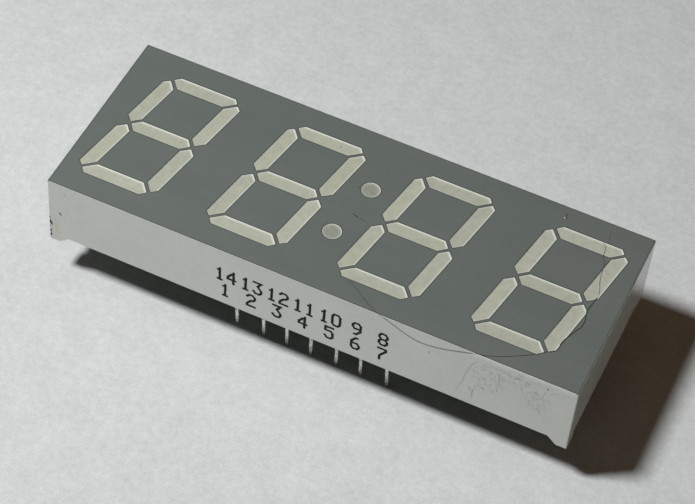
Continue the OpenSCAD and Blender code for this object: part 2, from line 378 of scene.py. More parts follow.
def board_laminate():
    n = Nodes("board")
    weave = n.add("ShaderNodeTexWave", wave_type="BANDS", bands_direction="X")
    weave.inputs["Scale"].default_value = 700.0
    weave.inputs["Distortion"].default_value = 1.5
    n.link(n.coord, weave.inputs["Vector"])
    cross = n.add("ShaderNodeTexWave", wave_type="BANDS", bands_direction="Y")
    cross.inputs["Scale"].default_value = 700.0
    cross.inputs["Distortion"].default_value = 1.5
    n.link(n.coord, cross.inputs["Vector"])
    cloth = n.math("MULTIPLY", weave.outputs["Fac"], cross.outputs["Fac"])
    colour = n.ramp(cloth, [(0.1, (0.050, 0.140, 0.062)), (0.9, (0.085, 0.215, 0.095))])
    n.bump([(cloth, 6.0)])
    return n.set(Base_Color=colour, Roughness=n.range(n.noise(900.0), 0.3, 0.7, 0.30, 0.42))


def chip_material():
    n = Nodes("chip")
    facet = n.noise(14000.0, 3.0)
    colour = n.ramp(facet, [(0.35, (0.42, 0.40, 0.12)), (0.65, (0.62, 0.60, 0.25))])
    n.bump([(facet, 3.0)])
    return n.set(Base_Color=colour, Roughness=n.range(facet, 0.3, 0.7, 0.25, 0.4))


def potting():
    """The poured resin on the back: milky, glossy, with a few bubbles just under its skin."""
    n = Nodes("rear_resin")
    cloud = n.noise(380.0, 5.0, 0.6)
    colour = n.ramp(cloud, [(0.3, (0.062, 0.076, 0.060)), (0.7, (0.095, 0.112, 0.090))])
    cells = n.add("ShaderNodeTexVoronoi", feature="F1")
    cells.inputs["Scale"].default_value = 620.0
    n.link(n.coord, cells.inputs["Vector"])
    bubble = n.range(cells.outputs["Distance"], 0.05, 0.12, 1.0, 0.0, True)
    colour = n.mix(n.math("MULTIPLY", bubble, 0.35), colour, (0.10, 0.12, 0.08))
    n.bump([(n.noise(260.0, 2.0), 25.0), (bubble, 6.0), (n.noise(2400.0, 3.0), 2.0)])
    return n.set(Base_Color=colour, Roughness=n.range(cloud, 0.3, 0.7, 0.16, 0.30))


def plain_dark(name, low, high, roughness, scale=6000.0, gloss=0.5):
    n = Nodes(name)
    g = n.noise(scale, 3.0, 0.6)
    colour = n.ramp(g, [(0.3, low), (0.7, high)])
    n.bump([(g, 2.0)])
    return n.set(Base_Color=colour, Roughness=n.range(g, 0.3, 0.7, roughness, roughness + 0.15), Specular_IOR_Level=gloss)


M_CASE = case_plastic()
M_PRINT = face_print()
M_RESIN = resin("segment_resin", (0.322, 0.338, 0.280), (0.378, 0.394, 0.330), (0.46, 0.48, 0.42))
M_DOT = resin("colon_resin", (0.223, 0.237, 0.203), (0.250, 0.264, 0.228), (0.355, 0.378, 0.342))
M_PIN = tinned_metal()
M_SOLDER = solder_metal()
M_GOLD = gold_metal()
M_BOARD = board_laminate()
M_CHIP = chip_material()
M_FILL = potting()
M_INK = plain_dark("side_ink", (0.008, 0.008, 0.009), (0.017, 0.017, 0.018), 0.55, 6000.0, 0.15)
M_DARK_MARK = plain_dark("dark_mark", (0.030, 0.028, 0.025), (0.060, 0.055, 0.048), 0.75)
M_MARK = plain_dark("scuff", (0.31, 0.315, 0.29), (0.50, 0.51, 0.48), 0.6, 3800.0)
M_SOFT = plain_dark("soft_scuff", (0.43, 0.44, 0.41), (0.52, 0.53, 0.50), 0.6, 3000.0)
M_FAINT = plain_dark("face_scuff", (0.042, 0.050, 0.045), (0.070, 0.081, 0.075), 0.6)
M_PALE = plain_dark("pale_nick_and_highlight", (0.56, 0.57, 0.53), (0.70, 0.71, 0.66), 0.5)
M_SPECK = plain_dark("speck", (0.16, 0.155, 0.12), (0.22, 0.21, 0.17), 0.6)
M_SOOT = plain_dark("soot", (0.016, 0.019, 0.017), (0.034, 0.039, 0.035), 0.7)
M_CRACK = plain_dark("crack", (0.20, 0.205, 0.165), (0.27, 0.275, 0.225), 0.5)
M_HAIR = plain_dark("strand", (0.012, 0.012, 0.010), (0.030, 0.028, 0.024), 0.5, 9000.0, 0.25)

# ------------------------------------------------------------------ mesh helpers


def mesh_object(name, verts_mm, faces, materials, face_materials=None, smooth_angle=None):
    """A mesh object from millimetre points."""
    me = bpy.data.meshes.new(name)
    me.from_pydata([tuple(float(c) * MM for c in v) for v in verts_mm], [], faces)
    for m in materials:
        me.materials.append(m)
    if face_materials is not None:
        me.polygons.foreach_set("material_index", face_materials)
    me.validate()
    me.update()
    o = bpy.data.objects.new(name, me)
    scene.collection.objects.link(o)
    if smooth_angle is not None:
        me.shade_smooth()
        me.set_sharp_from_angle(angle=math.radians(smooth_angle))
    return o


def corner_arc(before, at, after, r, n):
    a, b = before - at, after - at
    la, lb = np.linalg.norm(a), np.linalg.norm(b)
    a, b = a / la, b / lb
    half = math.acos(max(-1.0, min(1.0, float(a @ b)))) / 2
    d = min(r / math.tan(half), 0.45 * la, 0.45 * lb)
    r = d * math.tan(half)
    bis = (a + b) / np.linalg.norm(a + b)
    c = at + bis * (r / math.sin(half))
    v0, v1 = at + a * d - c, at + b * d - c
    a0, a1 = math.atan2(v0[1], v0[0]), math.atan2(v1[1], v1[0])
    turn = (a1 - a0 + math.pi) % (2 * math.pi) - math.pi
    return [c + r * np.array((math.cos(a0 + turn * i / (n - 1)), math.sin(a0 + turn * i / (n - 1)))) for i in range(n)]


def rounded(poly, r, n=6):
    k = len(poly)
    out = []
    for i in range(k):
        out += corner_arc(poly[i - 1], poly[i], poly[(i + 1) % k], r, n)
    return np.array(out)


def inset(poly, widths):
    """A convex anticlockwise outline with each edge moved in by its own width."""
    k = len(poly)
    lines = []
    for i in range(k):
        p, q = poly[i], poly[(i + 1) % k]
        d = (q - p) / np.linalg.norm(q - p)
        n = np.array((-d[1], d[0]))
        lines.append((p + n * widths[i], d))
    out = []
    for i in range(k):
        p, d = lines[i - 1]
        q, e = lines[i]
        t = np.linalg.solve(np.array((d, -e)).T, q - p)[0]
        out.append(p + d * t)
    return np.array(out)


def edge_normals(poly):
    k = len(poly)
    d = [(poly[(i + 1) % k] - poly[i]) for i in range(k)]
    return [np.array((v[1], -v[0])) / np.linalg.norm(v) for v in d]


def loft(rings):
    """Closed solid through rings of equal length, from the bottom up, each anticlockwise from above."""
    n = len(rings[0])
    verts = [p for r in rings for p in r]
    faces = [tuple(reversed(range(n)))]
    for i in range(len(rings) - 1):
        for k in range(n):
            j = (k + 1) % n
            faces.append((i * n + k, i * n + j, (i + 1) * n + j, (i + 1) * n + k))
    faces.append(tuple(range((len(rings) - 1) * n, len(rings) * n)))
    return verts, faces


def lift(ring2, z):
    return [(p[0], p[1], z) for p in ring2]


def plate(solids, holes, put, weld=0.0):
    """Closed sheet that covers the union of solids without the holes. put(p, side) gives a 3-D point for side 0 and 1.

    Points of the sheet nearer to each other than weld become one point.
    """
    pts, faces = [], []
    for loop in list(solids) + list(holes):
        start = len(pts)
        pts += [Vector((float(p[0]), float(p[1]))) for p in loop]
        faces.append(list(range(start, len(pts))))
    ov, oe, of, _, _, forig = delaunay_2d_cdt(pts, [], faces, 0, 1e-5)
    hole_from = len(solids)
    tris = [f for f, src in zip(of, forig) if src and not any(s >= hole_from for s in src)]
    if weld:
        same = {}
        order = sorted(range(len(ov)), key=lambda i: ov[i][0])
        for k, i in enumerate(order):
            for j in order[k + 1:]:
                if ov[j][0] - ov[i][0] > weld:
                    break
                if abs(ov[j][1] - ov[i][1]) <= weld and j not in same:
                    same[j] = same.get(i, i)
        tris = [tuple(same.get(i, i) for i in f) for f in tris]
        tris = [f for f in tris if len(set(f)) == 3]
        # two triangles folded onto the same three points cancel
        met = {}
        for f in tris:
            met[frozenset(f)] = met.get(frozenset(f), 0) + 1
        tris = [f for f in tris if met[frozenset(f)] == 1]
    used = sorted({i for f in tris for i in f})
    at = {v: i for i, v in enumerate(used)}
    tris = [tuple(at[i] for i in f) for f in tris]
    n = len(used)
    verts = [put((ov[v][0], ov[v][1]), 0) for v in used] + [put((ov[v][0], ov[v][1]), 1) for v in used]
    out = [tuple(reversed(t)) for t in tris] + [tuple(i + n for i in t) for t in tris]
    once = {}
    for t in tris:
        for a, b in zip(t, t[1:] + t[:1]):
            once[(a, b)] = True
    for (a, b) in once:
        if (b, a) not in once:
            out.append((a, b, b + n, a + n))
    return verts, out


def temp_object(name, verts, faces, materials=()):
    """A helper solid in plain millimetre units."""
    me = bpy.data.meshes.new(name)
    me.from_pydata([tuple(float(c) for c in v) for v in verts], [], faces)
    for m in materials:
        me.materials.append(m)
    bm = bmesh.new()
    bm.from_mesh(me)
    bmesh.ops.recalc_face_normals(bm, faces=bm.faces)
    bm.to_mesh(me)
    bm.free()
    o = bpy.data.objects.new(name, me)
    scene.collection.objects.link(o)
    return o


def bake(o):
    """Applies o's modifiers."""
    dg = bpy.context.evaluated_depsgraph_get()
    me = bpy.data.meshes.new_from_object(o.evaluated_get(dg))
    o.modifiers.clear()
    old = o.data
    o.data = me
    bpy.data.meshes.remove(old)


def boolean(o, other, operation):
    m = o.modifiers.new("cut", "BOOLEAN")
    m.object = other
    m.operation = operation
    m.solver = "EXACT"
    bpy.context.view_layer.update()
    bake(o)
    bpy.data.objects.remove(other)


def join_lists(parts):
    verts, faces = [], []
    for v, f in parts:
        s = len(verts)
        verts += list(v)
        faces += [tuple(i + s for i in q) for q in f]
    return verts, faces


def prism(poly_xz, y0, y1):
    n = len(poly_xz)
    verts = [(x, y0, z) for x, z in poly_xz] + [(x, y1, z) for x, z in poly_xz]
    faces = [tuple(range(n)), tuple(reversed(range(n, 2 * n)))]
    faces += [(i, i + n, (i + 1) % n + n, (i + 1) % n) for i in range(n)]
    return verts, faces


def keep(o, slot, *stands_for):
    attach(o, "root")
    if stands_for:
        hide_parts(*stands_for)
    return o


# ------------------------------------------------------------ outlines of the CAD


def top_outline(node):
    me = nodes[node].data
    co = np.zeros(len(me.vertices) * 3, np.float32)
    me.vertices.foreach_get("co", co)
    co = co.reshape(-1, 3).astype(float) * 1000.0
    top = co[co[:, 2] > co[:, 2].max() - 1e-3][:, :2]
    top = np.unique(top.round(3), axis=0)
    c = (top.min(0) + top.max(0)) / 2
    order = np.argsort(np.arctan2(top[:, 1] - c[1], top[:, 0] - c[0]))
    return top[order]


def rim_widths(poly):
    """Bare plastic shows wider on the sides that face away from the front left. This is a painted highlight made in the
    shape: the lips whose inner walls face the light are widened to stand for the light they catch.
    """
    out = []
    for n in edge_normals(poly):
        out.append(0.042 + 0.080 * max(0.0, float(n @ np.array((0.55, 0.83)))))
    return out


segments = {}
for d in DIGITS:
    for letter in LETTERS:
        node = f"segment_{d}{letter}"
        window = top_outline(node)
        segments[node] = {
            "window": window,
            "well": inset(window, rim_widths(window)),
            "centre": (window.min(0) + window.max(0)) / 2,
        }
dots = {}
for node in ("colon_upper", "colon_lower"):
    ring = top_outline(node)
    c = (ring.min(0) + ring.max(0)) / 2
    dots[node] = {"centre": c, "radius": float(np.linalg.norm(ring - c, axis=1).max())}


def circle(c, r, n=40):
    return np.array([(c[0] + r * math.cos(2 * math.pi * i / n), c[1] + r * math.sin(2 * math.pi * i / n)) for i in range(n)])


# ------------------------------------------------------------------- case shell


def well_cutter(outline_at, centre):
    """Tapered well with a softly rounded lip. outline_at(d) gives the outline moved in by d."""
    rings = []
    full = Z_CASE - Z_BOARD
    base = outline_at(0.0)
    for z in (Z_BOARD - 0.3, Z_BOARD + 0.35 * full, Z_CASE - 0.03):
        s = TAPER + (1 - TAPER) * (z - Z_BOARD) / full
        s = max(s, TAPER)
        rings.append(lift(centre + (base - centre) * s, z))
    for a in (25, 50, 72):
        r = 0.03
        rings.append(lift(outline_at(-r * (1 - math.cos(math.radians(a)))), Z_CASE - r + r * math.sin(math.radians(a))))
    rings.append(lift(outline_at(-0.032), Z_CASE + 0.05))
    return loft(rings)


def build_shell():
    box = [(x, y, z) for z in (Z_RIM, Z_CASE) for x, y in ((-X1, YF), (X1, YF), (X1, Y1), (-X1, Y1))]
    shell = temp_object("case_shell", box, [(3, 2, 1, 0), (4, 5, 6, 7), (0, 1, 5, 4), (1, 2, 6, 5), (2, 3, 7, 6), (3, 0, 4, 7)], [M_CASE, M_DARK_MARK])
    run = 1.05 + 0.8 * 1.06
    for sx in (-1, 1):
        for sy in (-1, 1):
            poly = [(sx * X1, Z_FOOT), (sx * X1, Z_RIM + 0.2), (sx * (X1 - run), Z_RIM + 0.2),
                    (sx * (X1 - run), Z_RIM), (sx * (X1 - 1.05), Z_FOOT)]
            y0, y1 = (YF, YF + 1.5) if sy < 0 else (Y1 - 1.5, Y1)
            boolean(shell, temp_object("foot", *prism(poly, y0, y1)), "UNION")
    # rounded edges: widest on the upright corners
    me = shell.data
    bm = bmesh.new()
    bm.from_mesh(me)
    bmesh.ops.remove_doubles(bm, verts=bm.verts, dist=1e-4)
    bmesh.ops.dissolve_limit(bm, angle_limit=math.radians(0.5), verts=bm.verts, edges=bm.edges)
    layer = bm.edges.layers.float.new("bevel_weight_edge")
    for e in bm.edges:
        if len(e.link_faces) != 2 or e.calc_face_angle(0.0) < math.radians(15):
            continue
        a, b = (v.co for v in e.verts)
        upright = abs(a.x - b.x) < 1e-3 and abs(a.y - b.y) < 1e-3
        if a.z > Z_CASE - 0.01 and b.z > Z_CASE - 0.01:
            e[layer] = 0.36
        elif upright and abs(a.z - b.z) > 3:
            e[layer] = 0.85
        elif upright and abs(abs(a.x) - X1) < 1e-3 and (abs(a.y - YF) < 1e-3 or abs(a.y - Y1) < 1e-3):
            e[layer] = 0.85
        else:
            e[layer] = 0.42
    bm.to_mesh(me)
    bm.free()
    m = shell.modifiers.new("round", "BEVEL")
    m.limit_method = "WEIGHT"
    m.width = 0.12
    m.segments = 4
    m.use_clamp_overlap = True
    bake(shell)
    # rear recess
    rx, ry = X1 - RIM, Y1 - RIM
    ring = rounded(np.array([(-rx, -ry), (rx, -ry), (rx, ry), (-rx, ry)]), 0.25, 5)
    boolean(shell, temp_object("recess", *loft([lift(ring, Z_RIM - 1.0), lift(ring, Z_BOARD)])), "DIFFERENCE")
    # light wells
    parts = []
    for s in segments.values():
        parts.append(well_cutter(lambda d, p=s["well"]: rounded(inset(p, [d] * len(p)), max(0.05, 0.11 - d), 5), s["centre"]))
    for s in dots.values():
        r = s["radius"] - 0.06
        parts.append(well_cutter(lambda d, c=s["centre"], r=r: circle(c, r - d), s["centre"]))
    boolean(shell, temp_object("wells", *join_lists(parts)), "DIFFERENCE")
    # chips knocked out of the upright front left edge and the foot below it
    rng = random.Random(5)
    chips = []
    for (x, z, w, h, lean) in ((-25.33, 6.78, 0.21, 0.50, 0.55), (-25.35, 7.36, 0.10, 0.20, 0.4),
                               (-25.33, 5.55, 0.17, 0.30, 0.45), (-25.31, 4.96, 0.15, 0.24, 0.3),
                               (-25.36, 6.14, 0.10, 0.16, 0.4),
                               (-24.62, 4.30, 0.26, 0.06, 0.0), (-24.05, 4.31, 0.14, 0.05, 0.0)):
        bm = bmesh.new()
        bmesh.ops.create_icosphere(bm, subdivisions=2, radius=1.0)
        for v in bm.verts:
            v.co *= 1.0 + 0.35 * (rng.random() - 0.5)
            v.co = Vector((v.co.x * w, v.co.y * 0.16, v.co.z * h))
            v.co.x -= lean * v.co.z
            v.co += Vector((x, YF, z))
        vs = [tuple(v.co) for v in bm.verts]
        fs = [tuple(v.index for v in f.verts) for f in bm.faces]
        bm.free()
        chips.append((vs, fs))
    # the broken faces of the first five chips are coloured dark; the two in the foot keep the case colour
    for i, c in enumerate(chips):
        boolean(shell, temp_object("chip", *c, [M_DARK_MARK if i < 5 else M_CASE]), "DIFFERENCE")
    me = shell.data
    me.transform(Matrix.Scale(MM, 4))
    me.name = "case_shell"
    me.shade_smooth()
    me.set_sharp_from_angle(angle=math.radians(35))
    w = shell.modifiers.new("weighted", "WEIGHTED_NORMAL")
    w.keep_sharp = True
    w.weight = 90
    return shell


shell = build_shell()
keep(shell, "case_plastic", "reflector_case")

# ---------------------------------------------------------------- printed face


def wobble(ring, amount, step, seed):
    """The ring resampled every step mm, with a small uneven edge."""
    out = []
    k = len(ring)
    for i in range(k):
        p, q = ring[i], ring[(i + 1) % k]
        n = max(1, int(np.linalg.norm(q - p) / step))
        for j in range(n):
            s = p + (q - p) * (j / n)
            v = noise.noise_vector(Vector((s[0] * 2.2, s[1] * 2.2, seed)))
            out.append(s + amount * np.array((v.x, v.y)))
    return np.array(out)


G = 0.050
outer = rounded(np.array([(-X1 + G, YF + G), (X1 - G, YF + G), (X1 - G, Y1 - G), (-X1 + G, Y1 - G)]), 0.12, 6)
outer = wobble(outer, 0.016, 0.35, 3.1)
windows = [wobble(rounded(s["window"], 0.10, 6), 0.004, 0.5, 1.0 + i) for i, s in enumerate(segments.values())]
windows += [wobble(circle(s["centre"], s["radius"], 48), 0.004, 0.5, 50.0) for s in dots.values()]
SHADE_BAND = 0.16                  # width of the painted shade band along a window
bands = [rounded(inset(s["window"], [-SHADE_BAND] * len(s["window"])), 0.10 + SHADE_BAND, 8) for s in segments.values()]
bands += [circle(s["centre"], s["radius"] + SHADE_BAND, 48) for s in dots.values()]
inner = np.array([p - np.sign(p) * 0.15 for p in outer])
print_face = mesh_object("face_ink", *plate([outer, inner] + bands, windows, lambda p, side: (p[0], p[1], Z_PRINT if side else Z_CASE + 0.001)), [M_PRINT])
at_window = {(round(float(p[0]), 4), round(float(p[1]), 4)) for loop in windows for p in loop}
at_border = {(round(float(p[0]), 4), round(float(p[1]), 4)) for p in outer}
# the painted shade is full at the window edges and 0.85 along the outer border
rim = print_face.data.attributes.new("rim", "FLOAT", "POINT")
values = []
for v in print_face.data.vertices:
    key = (round(v.co.x / MM, 4), round(v.co.y / MM, 4))
    values.append(1.0 if key in at_window else 0.85 if key in at_border else 0.0)
rim.data.foreach_set("value", values)
keep(print_face, "face_print", "face_print")

# ------------------------------------------------------------ resin in the wells

SEGMENT_SKIN = ((0.0, 0.024, 1.0), (0.02, 0.030, 1.0), (0.05, 0.036, 0.85), (0.10, 0.041, 0.45),
                (0.17, 0.045, 0.15), (0.27, 0.048, 0.0), (0.42, 0.050, 0.0))
DOT_SKIN = ((0.0, 0.024, 1.0), (0.02, 0.030, 1.0), (0.05, 0.036, 0.70), (0.19, 0.043, 0.55), (0.225, 0.047, 0.0), (0.30, 0.048, 0.0))


def resin_piece(name, outline_at, centre, materials, tone, reach, skin=SEGMENT_SKIN):
    """Resin from the board to just under the face, its surface slightly hollow."""
    full = Z_CASE - Z_BOARD
    gap = 0.002
    base = outline_at(gap)
    rings, edge = [], []
    for z in (Z_BOARD, Z_BOARD + 0.5 * full):
        s = TAPER + (1 - TAPER) * (z - Z_BOARD) / full
        rings.append(lift(centre + (base - centre) * s, z))
        edge.append(1.0)
    for d, z, e in skin:
        if d > reach:
            break
        rings.append(lift(outline_at(gap + d), Z_CASE - z))
        edge.append(e)
    verts, faces = loft(rings)
    o = mesh_object(name, verts, faces, materials, smooth_angle=50)
    n = len(rings[0])
    a = o.data.attributes.new("edge", "FLOAT", "POINT")
    a.data.foreach_set("value", np.repeat(np.array(edge, np.float32), n))
    c = o.data.color_attributes.new("tone", "FLOAT_COLOR", "POINT")
    c.data.foreach_set("color", np.tile(np.array((tone[0], tone[1], tone[2], 1.0), np.float32), len(verts)))
    return o


rng = random.Random(21)
for node, s in segments.items():
    t = (0.965 if node[-1] == "g" else 0.99) * (1.0 + 0.07 * (rng.random() - 0.5))
    tint = (t, t, t * (1.0 + 0.03 * (rng.random() - 0.5)))
    shape = lambda d, p=s["well"]: rounded(inset(p, [d] * len(p)), max(0.02, 0.11 - d), 5)
    o = resin_piece("resin_" + node[-2:], shape, s["centre"], [M_RESIN], tint, 0.2)
    keep(o, "segment_resin", node)
for node, s in dots.items():
    r = s["radius"] - 0.06
    o = resin_piece("resin_" + node, lambda d, c=s["centre"], r=r: circle(c, r - d), s["centre"], [M_DOT], (1, 1, 1), 0.3, DOT_SKIN)
    keep(o, "colon_resin", node)

# ------------------------------------------------------- poured resin on the back

pin_xy = []
for i in range(1, 15):
    lo, hi = box_mm(f"pin_{i:02d}")
    pin_xy.append(((lo[0] + hi[0]) / 2, (lo[1] + hi[1]) / 2))
ROOT_SHIFT = (0.20, 0.28, 0.19, 0.12, 0.11, 0.03, 0.04) + (0.0,) * 7
root_xy = [(x + d, y) for (x, y), d in zip(pin_xy, ROOT_SHIFT)]


def build_fill():
    rx, ry = X1 - RIM - 0.002, Y1 - RIM - 0.002
    nx, ny = 196, 72
    # rows closer together near the walls
    def spread(n, r):
        t = np.linspace(-1, 1, n)
        return r * np.sign(t) * (1 - (1 - np.abs(t)) ** 1.15)
    xs, ys = spread(nx, rx), spread(ny, ry)
    verts, top = [], []
    for y in ys:
        for x in xs:
            wall = min(rx - abs(x), ry - abs(y))
            z = Z_FILL + 0.05
            z -= 0.22 * math.exp(-wall / 0.28)
            near = min(math.hypot(x - px, y - py) for px, py in root_xy)
            z -= 0.20 * math.exp(-max(0.0, near - 0.22) / 0.22)
            z += 0.025 * noise.noise(Vector((x * 0.35, y * 0.35, 4.0)))
            verts.append((x, y, max(z, Z_RIM + 0.02)))
    faces = []
    for j in range(ny - 1):
        for i in range(nx - 1):
            a = j * nx + i
            faces.append((a, a + nx, a + nx + 1, a + 1))
    border = [i for i in range(nx)] + [j * nx + nx - 1 for j in range(1, ny)]
    border += [(ny - 1) * nx + i for i in range(nx - 2, -1, -1)] + [j * nx for j in range(ny - 2, 0, -1)]
    start = len(verts)
    for b in border:
        verts.append((verts[b][0], verts[b][1], Z_BACK))
    k = len(border)
    for i in range(k):
        j = (i + 1) % k
        faces.append((border[i], border[j], start + j, start + i))
    faces.append(tuple(range(start, start + k)))
    return mesh_object("back_fill", verts, faces, [M_FILL], smooth_angle=60)


keep(build_fill(), "rear_resin", "rear_resin")

# --------------------------------------------------------------- pin numbers, ink

FONT = {
    "0": ("01110", "10001", "10001", "10001", "10001", "10001", "01110"),
    "1": ("00100", "01100", "00100", "00100", "00100", "00100", "01110"),
    "2": ("01110", "10001", "00001", "00110", "01000", "10000", "11111"),
    "3": ("11111", "00010", "00100", "00010", "00001", "10001", "01110"),
    "4": ("00010", "00110", "01010", "10010", "11111", "00010", "00010"),
    "5": ("11111", "10000", "11110", "00001", "00001", "10001", "01110"),
    "6": ("00110", "01000", "10000", "11110", "10001", "10001", "01110"),
    "7": ("11111", "00001", "00010", "00100", "01000", "01000", "01000"),
    "8": ("01110", "10001", "10001", "01110", "10001", "10001", "01110"),
    "9": ("01110", "10001", "10001", "01111", "00001", "00010", "01100"),
}


def digit_loops(ch, x, z, w, h, rng):
    """Ink dots and the links between them for one number, its lower left corner at x, z."""
    rows = FONT[ch]
    px, pz = w / 4.0, h / 6.0
    lit = [(c, r) for r in range(7) for c in range(5) if rows[r][c] == "1"]
    at = {}
    for c, r in lit:
        at[(c, r)] = np.array((x + c * px + rng.uniform(-0.012, 0.012), z + (6 - r) * pz + rng.uniform(-0.012, 0.012)))
    loops = []
    for p in at.values():
        rad = 0.140 + rng.uniform(-0.010, 0.012)
        loops.append([p + rad * np.array((math.cos(t), math.sin(t))) for t in np.linspace(0, 2 * math.pi, 12, endpoint=False) + rng.random()])
    for (c, r), p in at.items():
        for dc, dr in ((1, 0), (0, 1), (1, 1), (-1, 1)):
            q = at.get((c + dc, r + dr))
            if q is None:
                continue
            if dc and dr and ((c + dc, r) in at or (c, r + dr) in at):
                continue
            d = (q - p) / np.linalg.norm(q - p)
            s = np.array((-d[1], d[0])) * 0.120
            loops.append([p - s, q - s, q + s, p + s])
    return loops


rng = random.Random(31)
loops = []
front = sorted([(x, i + 1) for i, (x, y) in enumerate(pin_xy) if y < 0])
back = sorted([(x, i + 1) for i, (x, y) in enumerate(pin_xy) if y > 0])
for row, z in ((back, Z_CASE - 4.02), (front, Z_CASE - 6.08)):
    for x, number in row:
        text = str(number)
        w, h, step = 0.74, 1.52, 1.16
        start = x - (w + step * (len(text) - 1)) / 2
        for i, ch in enumerate(text):
            loops += digit_loops(ch, start + i * step, z + 0.1, w, h, rng)
v, f = plate(loops, [], lambda p, side: (p[0], YF - 0.004 if side else YF + 0.001, p[1]), weld=6e-4)
ink = mesh_object("pin_numbers", v, f, [M_INK])
keep(ink, "face_print")

# ------------------------------------------------------------- dirt and wear marks


def blob(cx, cy, rx, ry, turn, rng, n=14, rough=0.3):
    c, s = math.cos(turn), math.sin(turn)
    out = []
    for i in range(n):
        t = 2 * math.pi * i / n
        k = 1.0 + rough * (rng.random() - 0.5) * 2
        a, b = rx * k * math.cos(t), ry * k * math.sin(t)
        out.append((cx + a * c - b * s, cy + a * s + b * c))
    return out


def streak(points, width, rng):
    """A thin uneven ribbon along points."""
    pts = [np.array(p, float) for p in points]
    fine = []
    for p, q in zip(pts, pts[1:]):
        n = max(2, int(np.linalg.norm(q - p) / 0.12))
        fine += [p + (q - p) * (i / n) for i in range(n)]
    fine.append(pts[-1])
    fine = [p + np.array((rng.uniform(-1, 1), rng.uniform(-1, 1))) * 0.012 for p in fine]
    left, right = [], []
    for i, p in enumerate(fine):
        d = fine[min(i + 1, len(fine) - 1)] - fine[max(i - 1, 0)]
        d = d / max(np.linalg.norm(d), 1e-6)
        s = np.array((-d[1], d[0])) * width / 2 * (0.45 + 0.55 * math.sin(math.pi * (i + 0.5) / len(fine))) * rng.uniform(0.7, 1.2)
        left.append(p + s)
        right.append(p - s)
    return right + left[::-1]


rng = random.Random(12)
on_wall = lambda p, side: (p[0], YF - 0.003 if side else YF + 0.001, p[1])
on_face = lambda p, side: (p[0], p[1], Z_PRINT + (0.003 if side else -0.001))
dark_wall = [streak([(-24.31, 8.44), (-24.20, 8.27), (-24.09, 8.08)], 0.17, rng),
             blob(22.73, 11.39, 0.075, 0.09, 0.2, rng),
             blob(11.87, 9.96, 0.07, 0.08, 0, rng)]
v, f = plate(dark_wall, [], on_wall)
keep(mesh_object("wall_specks", v, f, [M_DARK_MARK]), None)
scuffs = [blob(-23.65, 11.18, 0.09, 0.10, 0, rng),
          streak([(16.6, 11.23), (17.07, 11.17)], 0.10, rng),
          streak([(16.68, 10.56), (17.22, 10.65)], 0.11, rng),
          blob(17.58, 10.6, 0.10, 0.10, 0, rng),
          streak([(18.11, 10.6), (18.49, 10.85)], 0.12, rng),
          streak([(18.31, 10.67), (18.4, 9.95), (18.53, 9.15)], 0.11, rng),
          streak([(18.31, 8.89), (18.4, 8.21)], 0.10, rng),
          blob(18.06, 8.05, 0.09, 0.10, 0, rng),
          streak([(19.62, 11.06), (20.0, 11.3), (20.32, 11.07)], 0.20, rng),
          blob(20.08, 11.18, 0.16, 0.10, 0.2, rng), blob(19.72, 11.00, 0.12, 0.08, 0.0, rng),
          streak([(20.71, 11.1), (20.78, 10.57)], 0.11, rng),
          blob(21.09, 11.11, 0.16, 0.11, 0.3, rng),
          blob(16.4, 7.78, 0.09, 0.10, 0, rng), blob(16.68, 8.07, 0.09, 0.09, 0, rng), blob(17.10, 8.02, 0.13, 0.09, 0.4, rng),
          streak([(16.42, 7.56), (16.23, 7.0), (16.28, 5.99)], 0.11, rng),
          streak([(15.73, 7.58), (16.23, 7.0)], 0.10, rng),
          streak([(16.96, 8.13), (17.27, 7.88)], 0.17, rng),
          streak([(22.62, 11.04), (22.29, 9.59)], 0.09, rng),
          streak([(21.51, 10.05), (21.76, 10.37), (21.99, 10.13), (22.26, 9.75)], 0.11, rng),
          blob(21.6, 9.6, 0.08, 0.09, 0, rng),
          streak([(21.92, 8.06), (22.19, 8.18), (22.46, 7.77)], 0.13, rng)]
v, f = plate(scuffs, [], on_wall)
keep(mesh_object("wall_scuffs", v, f, [M_MARK]), None)
soft = [streak([(16.33, 11.14), (16.12, 11.23), (15.88, 10.81), (15.67, 10.12), (15.45, 9.43), (15.28, 8.42), (15.09, 7.51), (14.87, 6.81), (14.7, 6.36)], 0.15, rng),
        streak([(16.04, 10.24), (16.12, 9.52)], 0.10, rng),
        streak([(18.65, 10.34), (19.13, 10.41), (19.4, 10.49)], 0.13, rng),
        streak([(20.46, 10.26), (20.53, 9.68)], 0.12, rng),
        streak([(21.69, 8.71), (21.75, 8.27)], 0.11, rng),
        streak([(22.95, 10.70), (23.15, 10.99), (23.72, 11.41)], 0.10, rng),
        streak([(24.08, 11.35), (24.78, 11.37), (24.99, 11.33)], 0.10, rng),
        streak([(16.9, 11.42), (18.3, 11.38), (19.2, 11.47)], 0.12, rng),
        streak([(20.9, 11.52), (22.1, 11.50), (22.9, 11.60)], 0.10, rng),
        streak([(-24.75, 8.75), (-24.5, 8.62), (-24.3, 8.4)], 0.08, rng),
        streak([(-10.85, 9.2), (-10.1, 8.7)], 0.09, rng),
        streak([(-20.1, 6.75), (-19.8, 6.25)], 0.10, rng),
        streak([(-24.3, 11.9), (-23.9, 11.2)], 0.07, rng)]
v, f = plate(soft, [], on_wall)
keep(mesh_object("wall_rubs", v, f, [M_SOFT]), None)
